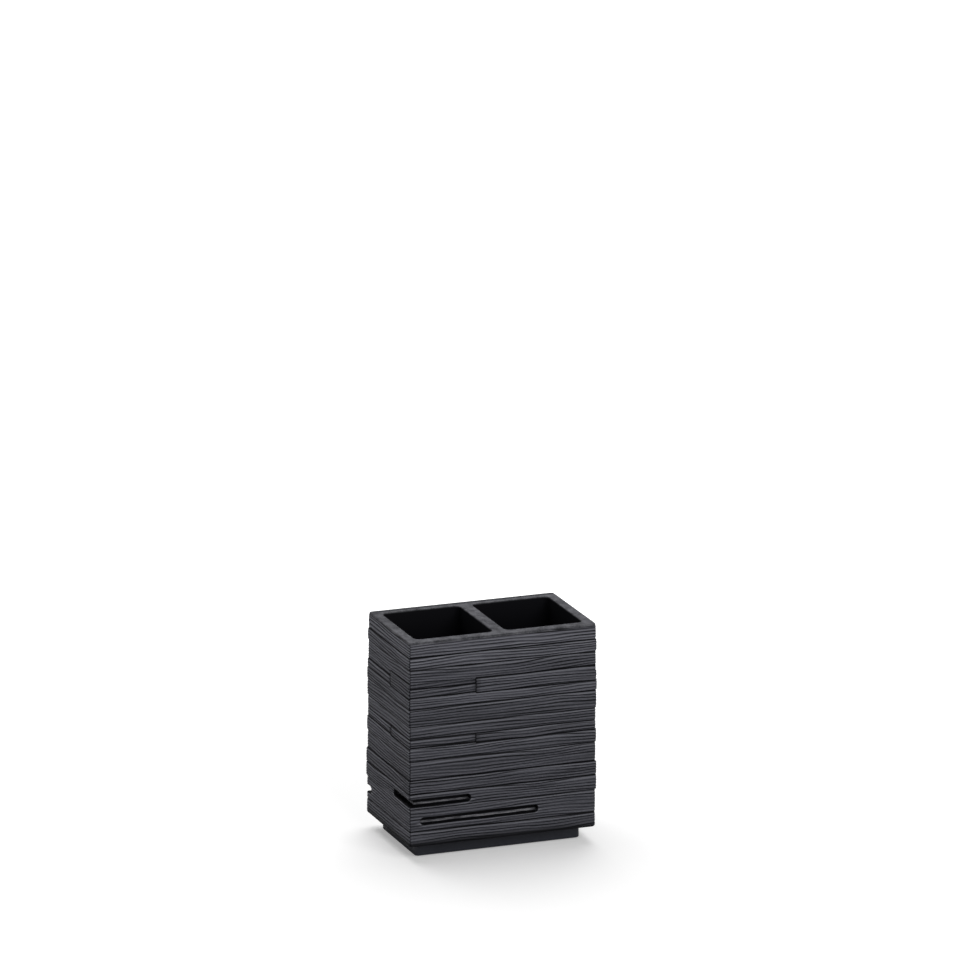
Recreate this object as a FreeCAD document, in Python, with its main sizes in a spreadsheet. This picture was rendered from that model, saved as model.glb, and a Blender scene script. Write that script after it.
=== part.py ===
"""Two-well toothbrush holder: a slatted sleeve over a liner, on a recessed plinth with four feet.

Millimetres. +Z is up, the front faces -Y, and the origin lies on the floor under the middle.
"""

import FreeCAD, Part

import math
import os

import Sketcher

# Every driving dimension of the holder, in millimetres.
SIZES = {
    # Outside of the slatted body over the flush slats, at the rim, and how much deeper it is
    # at the plinth, where the back leans out.
    "holder_width": 93.0,
    "holder_depth": 56.1,
    "back_lean": 3.2,
    # Courses of slats, numbered from the plinth up.
    "course_1": 7.6,
    "course_2": 11.0,
    "course_3": 7.2,
    "course_4": 6.8,
    "course_5": 9.0,
    "course_6": 6.2,
    "course_7": 4.6,
    "course_8": 6.0,
    "course_9": 8.6,
    "course_10": 4.8,
    "course_11": 7.2,
    "course_12": 6.8,
    "course_13": 5.8,
    "course_14": 6.2,
    # How far the slats stand off the core of the sleeve.
    "shy_relief": 0.65,
    "flush_relief": 0.95,
    "proud_relief": 1.1,
    # Bevel round each slat and the flat left at the bottom of a joint.
    "slat_bevel": 0.2,
    "joint_width": 0.16,
    # Butt joints, from the left end of a face as seen from outside it.
    "front_butt_reach": 32.0,
    "side_butt_reach": 29.75,
    # How far the left slat of a split course differs from the right one.
    "upper_split_drop": 2.5,
    "upper_split_rise": 0.7,
    "lower_split_rise": 0.6,
    # Sleeve wall behind the slats, its floor web and its eased lower edge.
    "core_wall": 2.6,
    "web_thickness": 4.0,
    "sleeve_foot_ease": 1.2,
    # Slots through the sleeve.
    "corner_slot_height": 3.3,
    "corner_slot_rise": 3.0,
    "corner_slot_front_reach": 30.3,
    "corner_slot_side_reach": 20.6,
    "long_slot_height": 3.5,
    "long_slot_rise": 4.85,
    "long_slot_inset": 5.7,
    "long_slot_length": 58.2,
    "rear_slot_side_reach": 6.0,
    "rear_slot_back_reach": 30.0,
    # Liner: walls, divider, floor, corners and the rim flange.
    "fit_clearance": 0.15,
    "liner_end_wall": 1.3,
    "liner_long_wall": 1.5,
    "liner_corner_radius": 1.5,
    "liner_floor": 2.0,
    "divider_thickness": 6.0,
    "well_corner_radius": 3.0,
    "well_floor_radius": 2.0,
    "well_mouth_ease": 0.5,
    "rim_thickness": 1.2,
    "rim_setback": 0.3,
    "rim_corner_radius": 0.8,
    "rim_edge_ease": 0.5,
    # Plinth and the spigot that locates it in the sleeve.
    "plinth_height": 6.5,
    "plinth_end_inset": 4.5,
    "plinth_face_inset": 5.8,
    "plinth_corner_radius": 2.0,
    "plinth_edge_ease": 0.5,
    "spigot_inset": 6.0,
    "spigot_corner_radius": 3.0,
    # Rubber feet, let into the underside of the plinth.
    "foot_diameter": 9.0,
    "foot_thickness": 1.5,
    "foot_recess": 1.0,
    "foot_edge_inset": 9.0,
    "foot_edge_bevel": 0.4,
    # Every cut starts or ends this far outside the material.
    "cut_overrun": 1.0,
}

# Which relief each course has, from the plinth up.
COURSE_RELIEFS = (
    "shy", "shy", "proud", "proud", "shy", "flush", "shy",
    "shy", "flush", "proud", "flush", "shy", "flush", "shy",
)

# Courses that are made of two slats end to end.
SPLIT_COURSES = (7, 11)

SHEET_NAME = "Sizes"
COINCIDENCE = 1e-6
QUARTER_TURN = math.pi / 2
PLANE_NORMAL = FreeCAD.Vector(0, 0, 1)
SKETCH_ACROSS = FreeCAD.Vector(1, 0, 0)

doc = FreeCAD.newDocument("toothbrush_holder")
sheet = doc.addObject("Spreadsheet::Sheet", SHEET_NAME)


class Formula:
    """A length kept both as an expression on the sheet and as its present value."""

    def __init__(self, text, value):
        self.text = text
        self.value = value

    def __add__(self, other):
        return Formula(f"({self.text} + {other.text})", self.value + other.value)

    def __sub__(self, other):
        return Formula(f"({self.text} - {other.text})", self.value - other.value)

    def __neg__(self):
        return Formula(f"(-{self.text})", -self.value)

    def __mul__(self, other):
        return Formula(f"({self.text} * {other.text})", self.value * other.value)

    def __truediv__(self, other):
        return Formula(f"({self.text} / {other.text})", self.value / other.value)


ZERO = Formula("0", 0.0)
ONE = Formula("1", 1.0)
TWO = Formula("2", 2.0)


def fill_sheet():
    """Write every size to the sheet as a plain number with its own alias."""
    for row, (name, value) in enumerate(SIZES.items(), start=1):
        sheet.set(f"A{row}", name)
        sheet.set(f"B{row}", str(value))
        sheet.setAlias(f"B{row}", name)
    doc.recompute()


def size(name):
    """The formula of one named size."""
    return Formula(f"{SHEET_NAME}.{name}", SIZES[name])


def course_joint(course):
    """Height of the joint on top of a course, from the underside of the sleeve."""
    level = ZERO
    for number in range(1, course + 1):
        level = level + size(f"course_{number}")
    return level


def bind(target, prop, formula):
    """Set a property from the sheet."""
    target.setExpression(prop, formula.text)


def new_body(label, x, y, z):
    """A body named after its node, with its own origin at a place in the holder."""
    body = doc.addObject("PartDesign::Body", label)
    body.Label = label
    bind(body, "Placement.Base.x", x)
    bind(body, "Placement.Base.y", y)
    bind(body, "Placement.Base.z", z)
    return body


def origin_feature(body, role):
    """One of the planes or axes of a body's own origin."""
    return next(feature for feature in body.Origin.OriginFeatures if feature.Role == role)


def new_sketch(body, name, plane_role, offset):
    """A sketch parallel to a plane of the body's origin, at a distance along its normal."""
    sketch = body.newObject("Sketcher::SketchObject", name)
    sketch.AttachmentSupport = [(origin_feature(body, plane_role), "")]
    sketch.MapMode = "FlatFace"
    bind(sketch, "AttachmentOffset.Base.z", offset)
    return sketch


def tilt(sketch, rise, run):
    """Turn a sketch about its own horizontal axis, by the angle of a slope."""
    place = sketch.AttachmentOffset
    slope = math.degrees(math.atan2(rise.value, run.value))
    place.Rotation = FreeCAD.Rotation(SKETCH_ACROSS, slope)
    sketch.AttachmentOffset = place
    sketch.setExpression("AttachmentOffset.Rotation.Angle", f"atan({rise.text} / {run.text})")


def dimension(sketch, kind, geometry, vertex, formula):
    """Fix one coordinate of a vertex of the sketch, from its origin, by a formula."""
    index = sketch.addConstraint(Sketcher.Constraint(kind, -1, 1, geometry, vertex, formula.value))
    bind(sketch, f"Constraints[{index}]", formula)


def radius_dimension(sketch, geometry, formula):
    """Fix the radius of an arc or a circle by a formula."""
    index = sketch.addConstraint(Sketcher.Constraint("Radius", geometry, formula.value))
    bind(sketch, f"Constraints[{index}]", formula)


def point(x, y):
    """A point of a sketch's plane from two formulas."""
    return FreeCAD.Vector(x.value, y.value, 0)


def polygon(sketch, corners):
    """A closed outline whose corners are pairs of formulas."""
    first = sketch.GeometryCount
    count = len(corners)
    for index, (x, y) in enumerate(corners):
        following = corners[(index + 1) % count]
        sketch.addGeometry(Part.LineSegment(point(x, y), point(*following)))
    for index, (x, y) in enumerate(corners):
        edge = first + index
        following = first + (index + 1) % count
        sketch.addConstraint(Sketcher.Constraint("Coincident", edge, 2, following, 1))
        dimension(sketch, "DistanceX", edge, 1, x)
        dimension(sketch, "DistanceY", edge, 1, y)


def rectangle(left, right, bottom, top):
    """The corners of a plain rectangle."""
    return [(left, bottom), (right, bottom), (right, top), (left, top)]


def rounded_rectangle(sketch, left, right, bottom, top, radius):
    """A rectangle with equal round corners: four sides joined by tangent quarter arcs."""
    sides = [
        (point(left + radius, bottom), point(right - radius, bottom)),
        (point(right, bottom + radius), point(right, top - radius)),
        (point(right - radius, top), point(left + radius, top)),
        (point(left, top - radius), point(left, bottom + radius)),
    ]
    centres = [
        point(right - radius, bottom + radius),
        point(right - radius, top - radius),
        point(left + radius, top - radius),
        point(left + radius, bottom + radius),
    ]
    first = sketch.GeometryCount
    for turn, (side, centre) in enumerate(zip(sides, centres)):
        sketch.addGeometry(Part.LineSegment(*side))
        corner = Part.Circle(centre, PLANE_NORMAL, radius.value)
        start = (turn - 1) * QUARTER_TURN
        sketch.addGeometry(Part.ArcOfCircle(corner, start, start + QUARTER_TURN))
    for turn in range(len(sides)):
        line = first + turn * 2
        arc = line + 1
        next_line = first + (turn + 1) % len(sides) * 2
        sketch.addConstraint(Sketcher.Constraint("Tangent", line, 2, arc, 1))
        sketch.addConstraint(Sketcher.Constraint("Tangent", arc, 2, next_line, 1))
        direction = "Vertical" if turn % 2 else "Horizontal"
        sketch.addConstraint(Sketcher.Constraint(direction, line))
        if turn:
            sketch.addConstraint(Sketcher.Constraint("Equal", first + 1, arc))
    radius_dimension(sketch, first + 1, radius)
    dimension(sketch, "DistanceY", first, 1, bottom)
    dimension(sketch, "DistanceX", first + 2, 1, right)
    dimension(sketch, "DistanceY", first + 4, 1, top)
    dimension(sketch, "DistanceX", first + 6, 1, left)


def round_ended_slot(sketch, left, right, middle, height):
    """A slot outline with semicircular ends; left and right are its outermost points."""
    radius = height / TWO
    start = left + radius
    end = right - radius
    first = sketch.GeometryCount
    sketch.addGeometry(Part.LineSegment(point(start, middle - radius), point(end, middle - radius)))
    end_circle = Part.Circle(point(end, middle), PLANE_NORMAL, radius.value)
    sketch.addGeometry(Part.ArcOfCircle(end_circle, -QUARTER_TURN, QUARTER_TURN))
    sketch.addGeometry(Part.LineSegment(point(end, middle + radius), point(start, middle + radius)))
    start_circle = Part.Circle(point(start, middle), PLANE_NORMAL, radius.value)
    sketch.addGeometry(Part.ArcOfCircle(start_circle, QUARTER_TURN, 3 * QUARTER_TURN))
    for index in range(4):
        following = first + (index + 1) % 4
        sketch.addConstraint(Sketcher.Constraint("Tangent", first + index, 2, following, 1))
    sketch.addConstraint(Sketcher.Constraint("Horizontal", first))
    sketch.addConstraint(Sketcher.Constraint("Horizontal", first + 2))
    radius_dimension(sketch, first + 1, radius)
    dimension(sketch, "DistanceX", first + 1, 3, end)
    dimension(sketch, "DistanceY", first + 1, 3, middle)
    dimension(sketch, "DistanceX", first + 3, 3, start)


def circle(sketch, x, y, radius):
    """A circle placed and sized by formulas."""
    index = sketch.addGeometry(Part.Circle(point(x, y), PLANE_NORMAL, radius.value))
    radius_dimension(sketch, index, radius)
    dimension(sketch, "DistanceX", index, 3, x)
    dimension(sketch, "DistanceY", index, 3, y)


def pad(body, sketch, length, backwards=False):
    """Raise a sketch along its normal, or against it."""
    feature = body.newObject("PartDesign::Pad", f"{sketch.Name}_pad")
    feature.Profile = sketch
    feature.Reversed = backwards
    bind(feature, "Length", length)
    doc.recompute()
    return feature


def pocket(body, sketch, depth, backwards=False):
    """Cut a sketch into the body, and make sure that it removed something."""
    before = body.Shape.Volume
    feature = body.newObject("PartDesign::Pocket", f"{sketch.Name}_pocket")
    feature.Profile = sketch
    feature.Reversed = backwards
    bind(feature, "Length", depth)
    doc.recompute()
    if body.Shape.Volume >= before - COINCIDENCE:
        raise RuntimeError(f"{feature.Name} cuts nothing")
    return feature


def fillet(body, base, edges, radius):
    """Round the named edges of the last feature."""
    feature = body.newObject("PartDesign::Fillet", f"{base.Name}_fillet")
    feature.Base = (base, edges)
    bind(feature, "Radius", radius)
    doc.recompute()
    return feature


def chamfer(body, base, edges, width):
    """Bevel the named edges of the last feature."""
    feature = body.newObject("PartDesign::Chamfer", f"{base.Name}_chamfer")
    feature.Base = (base, edges)
    bind(feature, "Size", width)
    doc.recompute()
    return feature


def edges_where(feature, wanted):
    """Names of the edges of a feature whose bounding box meets a condition."""
    names = []
    for index, edge in enumerate(feature.Shape.Edges, start=1):
        if wanted(edge.BoundBox):
            names.append(f"Edge{index}")
    return names


def at_height(box, level):
    """Whether an edge lies flat at a height of its body."""
    return abs(box.ZMin - level.value) < COINCIDENCE and abs(box.ZMax - level.value) < COINCIDENCE


# Sizes that several pieces share. The setback brings the middle of the overall depth, with
# its leaning back, over the middle of the plinth.
relief = {kind: size(f"{kind}_relief") for kind in ("shy", "flush", "proud")}
core_half_width = size("holder_width") / TWO - relief["flush"]
core_half_depth = size("holder_depth") / TWO - relief["flush"]
sleeve_height = course_joint(len(COURSE_RELIEFS))
sleeve_lift = size("foot_thickness") - size("foot_recess") + size("plinth_height")
cavity_half_width = core_half_width - size("core_wall")
cavity_half_depth = core_half_depth - size("core_wall")
cavity_corner_radius = size("liner_corner_radius") + size("fit_clearance")
liner_half_width = cavity_half_width - size("fit_clearance")
liner_half_depth = cavity_half_depth - size("fit_clearance")
plinth_half_width = core_half_width - size("plinth_end_inset")
setback = (size("back_lean") - relief["proud"] + relief["shy"]) / TWO
plinth_half_depth = core_half_depth + setback - size("plinth_face_inset")
spigot_half_width = plinth_half_width - size("spigot_inset")
spigot_half_depth = plinth_half_depth - size("spigot_inset")
overrun = size("cut_overrun")

# Joints that lie higher or lower left of the butt joint, by the course under them.
LEFT_SHIFTS = {
    6: size("lower_split_rise"),
    10: size("upper_split_rise"),
    11: -size("upper_split_drop"),
}


def upright_end(half_length):
    """The end of a face at an upright corner, as a function of the height."""
    return lambda level: half_length


def leaning_end(level):
    """The end of a side face at the leaning back, at a height."""
    return core_half_depth + size("back_lean") * (ONE - level / sleeve_height)


def slat_outlines(left_end, right_end, butt):
    """The seats of all slats of one face, as (relief, corners), from the plinth up.

    The face is seen from outside, with its middle at zero. A split course is two slats, and
    the courses beside it step up or down where the left one is shorter than the right one.
    """
    gap = size("joint_width") / TWO
    outlines = []
    for course, kind in enumerate(COURSE_RELIEFS, start=1):
        low = (course_joint(course - 1) if course > 1 else size("sleeve_foot_ease")) + gap
        high = course_joint(course) - gap
        left_low = low + LEFT_SHIFTS.get(course - 1, ZERO)
        left_high = high + LEFT_SHIFTS.get(course, ZERO)
        left_corners = [(-left_end(left_high), left_high), (-left_end(left_low), left_low)]
        right_corners = [(right_end(low), low), (right_end(high), high)]
        if course in SPLIT_COURSES:
            left_corners += [(butt - gap, left_low), (butt - gap, left_high)]
            right_corners += [(butt + gap, high), (butt + gap, low)]
            outlines += [(kind, left_corners), (kind, right_corners)]
            continue
        if course - 1 in LEFT_SHIFTS:
            left_corners += [(butt - gap, left_low), (butt - gap, low)]
        if course in LEFT_SHIFTS:
            right_corners += [(butt - gap, high), (butt - gap, left_high)]
        outlines.append((kind, left_corners + right_corners))
    return outlines


def slat_pads(body, side, sketch_for, outlines, backwards, mirrored):
    """Raise the slats of one face, one drafted pad for each relief."""
    for kind, standoff in relief.items():
        sketch = sketch_for(f"{side}_{kind}_slats")
        for outline_kind, corners in outlines:
            if outline_kind == kind:
                polygon(sketch, [(-x if mirrored else x, y) for x, y in corners])
        feature = pad(body, sketch, standoff, backwards)
        feature.setExpression("TaperAngle", f"-atan({size('slat_bevel').text} / {standoff.text})")
        doc.recompute()


def build_sleeve():
    """Outer shell: a core with slats in relief on its four faces, slots and a floor web."""
    body = new_body("slat_sleeve", ZERO, -setback, sleeve_lift)
    outline = new_sketch(body, "sleeve_core", "YZ_Plane", -core_half_width)
    back_foot = core_half_depth + size("back_lean")
    polygon(
        outline,
        [
            (-core_half_depth, ZERO),
            (back_foot, ZERO),
            (core_half_depth, sleeve_height),
            (-core_half_depth, sleeve_height),
        ],
    )
    core = pad(body, outline, core_half_width * TWO)
    lower_edges = edges_where(core, lambda box: at_height(box, ZERO))
    fillet(body, core, lower_edges, size("sleeve_foot_ease"))

    def front_sketch(name):
        return new_sketch(body, name, "XZ_Plane", core_half_depth)

    def back_sketch(name):
        sketch = new_sketch(body, name, "XZ_Plane", -back_foot)
        tilt(sketch, size("back_lean"), sleeve_height)
        return sketch

    def left_sketch(name):
        return new_sketch(body, name, "YZ_Plane", -core_half_width)

    def right_sketch(name):
        return new_sketch(body, name, "YZ_Plane", core_half_width)

    long_face_end = upright_end(core_half_width)
    short_face_end = upright_end(core_half_depth)
    long_butt = size("front_butt_reach") - core_half_width
    short_butt = size("side_butt_reach") - core_half_depth
    long_slats = slat_outlines(long_face_end, long_face_end, long_butt)
    slat_pads(body, "front", front_sketch, long_slats, False, False)
    slat_pads(body, "back", back_sketch, long_slats, True, True)
    left_slats = slat_outlines(leaning_end, short_face_end, short_butt)
    slat_pads(body, "left", left_sketch, left_slats, True, True)
    right_slats = slat_outlines(short_face_end, leaning_end, short_butt)
    slat_pads(body, "right", right_sketch, right_slats, False, False)

    cut_sleeve_openings(body)
    cut_sleeve_slots(body)
    return body


def cut_sleeve_openings(body):
    """The cavity for the liner and the window in the floor web for the plinth's spigot."""
    cavity = new_sketch(body, "sleeve_cavity", "XY_Plane", sleeve_height + overrun)
    rounded_rectangle(
        cavity, -cavity_half_width, cavity_half_width, -cavity_half_depth, cavity_half_depth,
        cavity_corner_radius,
    )
    pocket(body, cavity, sleeve_height + overrun - size("web_thickness"))
    window = new_sketch(body, "web_window", "XY_Plane", size("web_thickness") + overrun)
    window_half_width = spigot_half_width + size("fit_clearance")
    window_half_depth = spigot_half_depth + size("fit_clearance")
    rounded_rectangle(
        window, -window_half_width, window_half_width,
        setback - window_half_depth, setback + window_half_depth,
        size("spigot_corner_radius") + size("fit_clearance"),
    )
    pocket(body, window, size("web_thickness") + overrun * TWO)


def cut_sleeve_slots(body):
    """Round-ended slots through the wall; two of them turn a corner."""
    outreach = relief["proud"] + overrun
    depth = outreach + size("core_wall") + cavity_corner_radius
    corner_level = course_joint(2) + size("corner_slot_rise")
    long_level = course_joint(1) + size("long_slot_rise")
    corner_height = size("corner_slot_height")
    long_height = size("long_slot_height")
    beyond_side = core_half_width + outreach + long_height
    back_face = core_half_depth + size("back_lean")
    beyond_face = back_face + outreach + long_height
    slat_half_width = core_half_width + relief["flush"]
    slat_half_depth = core_half_depth + relief["flush"]

    front = new_sketch(body, "front_slots", "XZ_Plane", core_half_depth + outreach)
    corner_end = size("corner_slot_front_reach") - slat_half_width
    round_ended_slot(front, -beyond_side, corner_end, corner_level, corner_height)
    long_start = size("long_slot_inset") - slat_half_width
    long_end = long_start + size("long_slot_length")
    round_ended_slot(front, long_start, long_end, long_level, long_height)
    pocket(body, front, depth)

    left = new_sketch(body, "left_slots", "YZ_Plane", -(core_half_width + outreach))
    corner_end = size("corner_slot_side_reach") - slat_half_depth
    round_ended_slot(left, -beyond_face, corner_end, corner_level, corner_height)
    rear_start = slat_half_depth - size("rear_slot_side_reach")
    round_ended_slot(left, rear_start, beyond_face, long_level, long_height)
    pocket(body, left, depth, backwards=True)

    back = new_sketch(body, "back_slots", "XZ_Plane", -(back_face + outreach))
    back_end = size("rear_slot_back_reach") - slat_half_width
    round_ended_slot(back, -beyond_side, back_end, long_level, long_height)
    pocket(body, back, depth + size("back_lean"), backwards=True)


def build_liner():
    """Twin-well insert: a tub with a divider, hung in the sleeve by its flat rim flange."""
    body = new_body("well_liner", ZERO, -setback, sleeve_lift)
    tub_bottom = size("web_thickness") + size("fit_clearance")
    rim_top = sleeve_height + size("rim_thickness")
    well_floor = tub_bottom + size("liner_floor")

    rim_half_width = size("holder_width") / TWO - size("rim_setback")
    rim_half_depth = size("holder_depth") / TWO - size("rim_setback")
    rim = new_sketch(body, "rim_flange", "XY_Plane", sleeve_height)
    rounded_rectangle(
        rim, -rim_half_width, rim_half_width, -rim_half_depth, rim_half_depth,
        size("rim_corner_radius"),
    )
    flange = pad(body, rim, size("rim_thickness"))
    upper_edges = edges_where(flange, lambda box: at_height(box, rim_top))
    fillet(body, flange, upper_edges, size("rim_edge_ease"))

    tub = new_sketch(body, "liner_tub", "XY_Plane", tub_bottom)
    rounded_rectangle(
        tub, -liner_half_width, liner_half_width, -liner_half_depth, liner_half_depth,
        size("liner_corner_radius"),
    )
    pad(body, tub, sleeve_height - tub_bottom)

    well_far_side = liner_half_width - size("liner_end_wall")
    well_near_side = size("divider_thickness") / TWO
    well_half_depth = liner_half_depth - size("liner_long_wall")
    wells = new_sketch(body, "wells", "XY_Plane", rim_top)
    for start, end in ((-well_far_side, -well_near_side), (well_near_side, well_far_side)):
        rounded_rectangle(
            wells, start, end, -well_half_depth, well_half_depth, size("well_corner_radius")
        )
    bores = pocket(body, wells, rim_top - well_floor)

    def inside_wells(box):
        return max(-box.XMin, box.XMax) < well_far_side.value + COINCIDENCE

    floor_edges = edges_where(bores, lambda box: at_height(box, well_floor))
    floors = fillet(body, bores, floor_edges, size("well_floor_radius"))
    mouths = edges_where(floors, lambda box: at_height(box, rim_top) and inside_wells(box))
    fillet(body, floors, mouths, size("well_mouth_ease"))
    return body


def foot_places():
    """Names and positions of the four feet, from the corners of the plinth."""
    x = plinth_half_width - size("foot_edge_inset")
    y = plinth_half_depth - size("foot_edge_inset")
    return {
        "foot_front_left": (-x, -y),
        "foot_front_right": (x, -y),
        "foot_rear_left": (-x, y),
        "foot_rear_right": (x, y),
    }


def build_plinth():
    """Recessed plinth: an eased plate with a spigot on top and four foot recesses below."""
    body = new_body("plinth_base", ZERO, ZERO, size("foot_thickness") - size("foot_recess"))
    plate = new_sketch(body, "plinth_plate", "XY_Plane", ZERO)
    rounded_rectangle(
        plate, -plinth_half_width, plinth_half_width, -plinth_half_depth, plinth_half_depth,
        size("plinth_corner_radius"),
    )
    block = pad(body, plate, size("plinth_height"))
    lower_edges = edges_where(block, lambda box: at_height(box, ZERO))
    fillet(body, block, lower_edges, size("plinth_edge_ease"))

    spigot = new_sketch(body, "spigot", "XY_Plane", size("plinth_height"))
    rounded_rectangle(
        spigot, -spigot_half_width, spigot_half_width, -spigot_half_depth, spigot_half_depth,
        size("spigot_corner_radius"),
    )
    pad(body, spigot, size("web_thickness"))

    recesses = new_sketch(body, "foot_recesses", "XY_Plane", -overrun)
    recess_radius = size("foot_diameter") / TWO + size("fit_clearance")
    for x, y in foot_places().values():
        circle(recesses, x, y, recess_radius)
    pocket(body, recesses, size("foot_recess") + overrun, backwards=True)
    return body


def build_foot(label, x, y):
    """Rubber disc with a bevelled lower edge, standing on the floor."""
    body = new_body(label, x, y, ZERO)
    disc = new_sketch(body, f"{label}_disc", "XY_Plane", ZERO)
    circle(disc, ZERO, ZERO, size("foot_diameter") / TWO)
    puck = pad(body, disc, size("foot_thickness"))
    lower_edge = edges_where(puck, lambda box: at_height(box, ZERO))
    chamfer(body, puck, lower_edge, size("foot_edge_bevel"))
    return body


def check(bodies):
    """Stop if any object failed or any sub-part is not one valid solid."""
    doc.recompute()
    for item in doc.Objects:
        if "Invalid" in item.State or "Error" in item.State:
            raise RuntimeError(f"{item.Name} did not compute: {item.State}")
    for body in bodies:
        shape = body.Shape
        if shape.isNull() or not shape.isValid() or len(shape.Solids) != 1:
            raise RuntimeError(f"{body.Label} is not one valid solid")


def main():
    """Build every sub-part, check it and write its file."""
    fill_sheet()
    bodies = [build_sleeve(), build_liner(), build_plinth()]
    for label, (x, y) in foot_places().items():
        bodies.append(build_foot(label, x, y))
    check(bodies)
    os.makedirs("parts", exist_ok=True)
    for body in bodies:
        body.Shape.exportStep(f"parts/{body.Label}.step")
        print(body.Label, round(body.Shape.Volume, 1), body.Shape.BoundBox)


main()
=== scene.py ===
"""Dresses the two-well toothbrush holder and sets it in a white studio.

The slatted sleeve is carved from a scored block, the liner, plinth and feet are modelled over
their solids, and every finish is procedural. Lengths are in millimetres until a mesh is made.
"""

import logging
import math
from bisect import bisect_right
from contextlib import contextmanager
from dataclasses import dataclass, field
from enum import Enum
from typing import Any, Callable, Iterator, Optional, Sequence, Union

import bmesh
import bpy
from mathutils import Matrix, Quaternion, Vector, noise


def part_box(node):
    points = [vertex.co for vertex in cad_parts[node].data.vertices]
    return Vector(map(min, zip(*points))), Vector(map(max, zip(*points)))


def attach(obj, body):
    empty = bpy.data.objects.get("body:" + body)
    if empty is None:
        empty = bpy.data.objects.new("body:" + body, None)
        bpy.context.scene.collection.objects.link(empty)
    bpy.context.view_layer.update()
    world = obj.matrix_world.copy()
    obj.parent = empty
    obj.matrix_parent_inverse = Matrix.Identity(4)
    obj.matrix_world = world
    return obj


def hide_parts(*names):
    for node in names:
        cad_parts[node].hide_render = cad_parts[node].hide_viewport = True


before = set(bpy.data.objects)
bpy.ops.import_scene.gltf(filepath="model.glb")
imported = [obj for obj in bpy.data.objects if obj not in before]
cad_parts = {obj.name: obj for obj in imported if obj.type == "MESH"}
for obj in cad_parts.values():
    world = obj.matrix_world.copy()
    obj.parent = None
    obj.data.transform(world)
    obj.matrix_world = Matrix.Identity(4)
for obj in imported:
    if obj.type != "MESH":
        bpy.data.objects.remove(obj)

LOG = logging.getLogger("holder")

MM = 0.001
SAME_LEVEL = 1e-6  # metres within which a corner lies at a height
ON_FACE = 1e-3  # millimetres within which a point lies on a face of the core
LEAST_GAP = 0.055  # millimetres under which two scores are one
FACING = 0.9  # least part of a normal along the way that its face looks
STRAIGHT = 0.99  # the same for what lies dead along an axis
CREASE = 40.0  # degrees between two faces from which their edge stays sharp
FURROW = (0.05, 0.95)  # part of a grain line's wave over which the line sinks

Colour = tuple[float, float, float]
Point = tuple[float, float, float]
Span = tuple[float, float]


class Pick(Enum):
    """Kinds of mesh element that can be picked in edit mode."""

    EDGES = ("EDGE", "edges")
    FACES = ("FACE", "faces")


class Face(Enum):
    """Sides of the sleeve, each with the way that its slats look."""

    FRONT = (0.0, -1.0)
    RIGHT = (1.0, 0.0)
    BACK = (0.0, 1.0)
    LEFT = (-1.0, 0.0)

    @property
    def outward(self) -> Vector:
        """The direction away from the holder."""
        return Vector((self.value[0], self.value[1], 0.0))

    @property
    def rightward(self) -> Vector:
        """The direction to the right for someone who looks at this side."""
        return Vector((-self.value[1], self.value[0], 0.0))

    @property
    def number(self) -> int:
        """The place of this side in the order round the holder."""
        return list(Face).index(self)

    def beside(self, end: int) -> "Face":
        """The side round the corner at the left end (-1) or the right end (1)."""
        return list(Face)[(self.number + end) % len(Face)]


class Relief(Enum):
    """How far a course of slats stands off the core."""

    SHY = 0.65
    FLUSH = 0.95
    PROUD = 1.1


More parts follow.
